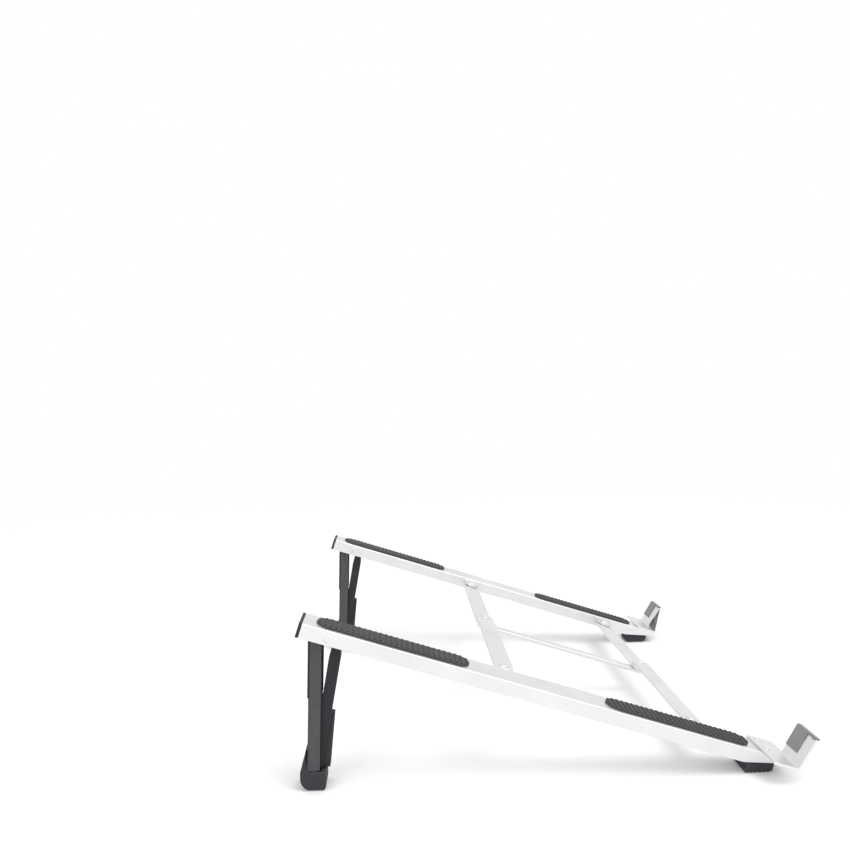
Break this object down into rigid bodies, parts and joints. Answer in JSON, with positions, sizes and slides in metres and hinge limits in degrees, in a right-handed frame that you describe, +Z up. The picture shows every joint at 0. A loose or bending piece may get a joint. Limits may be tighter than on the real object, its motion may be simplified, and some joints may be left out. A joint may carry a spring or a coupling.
{
  "type": "laptop stand",
  "caption": "Folding laptop stand: two tilted channel arms with front hooks, folding crossbars, and a folding strut and brace with a rubber shoe under the rear of each arm.",
  "frame": {"origin": "centre of the footprint on the desk, under the middle of the open stand", "axes": "+X across the two arms, +Y from the front hooks to the raised rear, +Z up from the desk"},
  "size_m": [0.25, 0.242, 0.0796],
  "materials": {
    "anodised": "satin silver anodised",
    "steel": "plain steel",
    "slate": "slate grey anodised",
    "plastic": "dark moulded",
    "rubber": "matte dark rubber",
    "silicone": "matte silicone",
    "grip": "grey silicone"
  },
  "bodies": {
    "left_arm": {"left_arm": "anodised", "left_top_pads": "silicone", "left_hook": "anodised", "left_hook_grip": "grip", "left_hook_rivets": "steel", "left_front_foot": "rubber", "left_end_cap": "plastic", "left_rack": "steel", "left_hinge_pin": "steel", "left_lugs": "steel", "left_lug_rivets": "steel"},
    "rear_bar_left": {"rear_bar_left": "anodised", "rear_knuckle_rivet": "steel"},
    "rear_bar_right": {"rear_bar_right": "anodised"},
    "spine": {"spine": "anodised"},
    "front_bar_left": {"front_bar_left": "anodised", "front_knuckle_rivet": "steel"},
    "front_bar_right": {"front_bar_right": "anodised"},
    "right_arm": {"right_arm": "anodised", "right_top_pads": "silicone", "right_hook": "anodised", "right_hook_grip": "grip", "right_hook_rivets": "steel", "right_front_foot": "rubber", "right_end_cap": "plastic", "right_rack": "steel", "right_hinge_pin": "steel", "right_lugs": "steel", "right_lug_rivets": "steel"},
    "left_strut": {"left_strut_plates": "slate", "left_strut_liner": "plastic", "left_shoe": "rubber", "left_foot_pin": "slate"},
    "left_brace": {"left_brace_plates": "plastic", "left_brace_spacer": "plastic", "left_tip_pin": "steel"},
    "right_strut": {"right_strut_plates": "slate", "right_strut_liner": "plastic", "right_shoe": "rubber", "right_foot_pin": "slate"},
    "right_brace": {"right_brace_plates": "plastic", "right_brace_spacer": "plastic", "right_tip_pin": "steel"}
  },
  "joints": [
    {"name": "spread", "type": "hinge", "parent": "left_arm", "child": "rear_bar_left", "pos_m": [-0.087, 0.02277, 0.04719], "axis": [0, -0.3007, 0.9537], "range_deg": [0, 85]},
    {"name": "rear_knuckle", "type": "hinge", "parent": "rear_bar_left", "child": "rear_bar_right", "pos_m": [0, 0.02277, 0.04719], "axis": [0, -0.3007, 0.9537], "range_deg": [-170, 0]},
    {"name": "right_arm_hinge", "type": "hinge", "parent": "rear_bar_right", "child": "right_arm", "pos_m": [0.087, 0.02277, 0.04719], "axis": [0, -0.3007, 0.9537], "range_deg": [0, 85]},
    {"name": "spine_hinge", "type": "hinge", "parent": "rear_bar_left", "child": "spine", "pos_m": [0, 0.02277, 0.04719], "axis": [0, -0.3007, 0.9537], "range_deg": [-85, 0]},
    {"name": "front_bar_hinge", "type": "hinge", "parent": "left_arm", "child": "front_bar_left", "pos_m": [-0.087, -0.07261, 0.01712], "axis": [0, -0.3007, 0.9537], "range_deg": [0, 85]},
    {"name": "front_knuckle", "type": "hinge", "parent": "front_bar_left", "child": "front_bar_right", "pos_m": [0, -0.07261, 0.01712], "axis": [0, -0.3007, 0.9537], "range_deg": [-170, 0]},
    {"name": "left_leg_fold", "type": "hinge", "parent": "left_arm", "child": "left_strut", "pos_m": [-0.103, 0.10678, 0.07137], "axis": [-1, 0, 0], "range_deg": [0, 73]},
    {"name": "left_brace_fold", "type": "hinge", "parent": "left_strut", "child": "left_brace", "pos_m": [-0.103, 0.11332, 0.0126], "axis": [-1, 0, 0], "range_deg": [0, 8.4]},
    {"name": "right_leg_fold", "type": "hinge", "parent": "right_arm", "child": "right_strut", "pos_m": [0.103, 0.10678, 0.07137], "axis": [-1, 0, 0], "range_deg": [0, 73]},
    {"name": "right_brace_fold", "type": "hinge", "parent": "right_strut", "child": "right_brace", "pos_m": [0.103, 0.11332, 0.0126], "axis": [-1, 0, 0], "range_deg": [0, 8.4]}
  ],
  "couplings": [
    {"joint": "rear_knuckle", "follows": "spread", "ratio": -2},
    {"joint": "right_arm_hinge", "follows": "spread", "ratio": 1},
    {"joint": "spine_hinge", "follows": "spread", "ratio": -1},
    {"joint": "front_bar_hinge", "follows": "spread", "ratio": 1},
    {"joint": "front_knuckle", "follows": "spread", "ratio": -2},
    {"joint": "left_brace_fold", "follows": "left_leg_fold", "ratio": 0.11507},
    {"joint": "right_brace_fold", "follows": "right_leg_fold", "ratio": 0.11507}
  ]
}
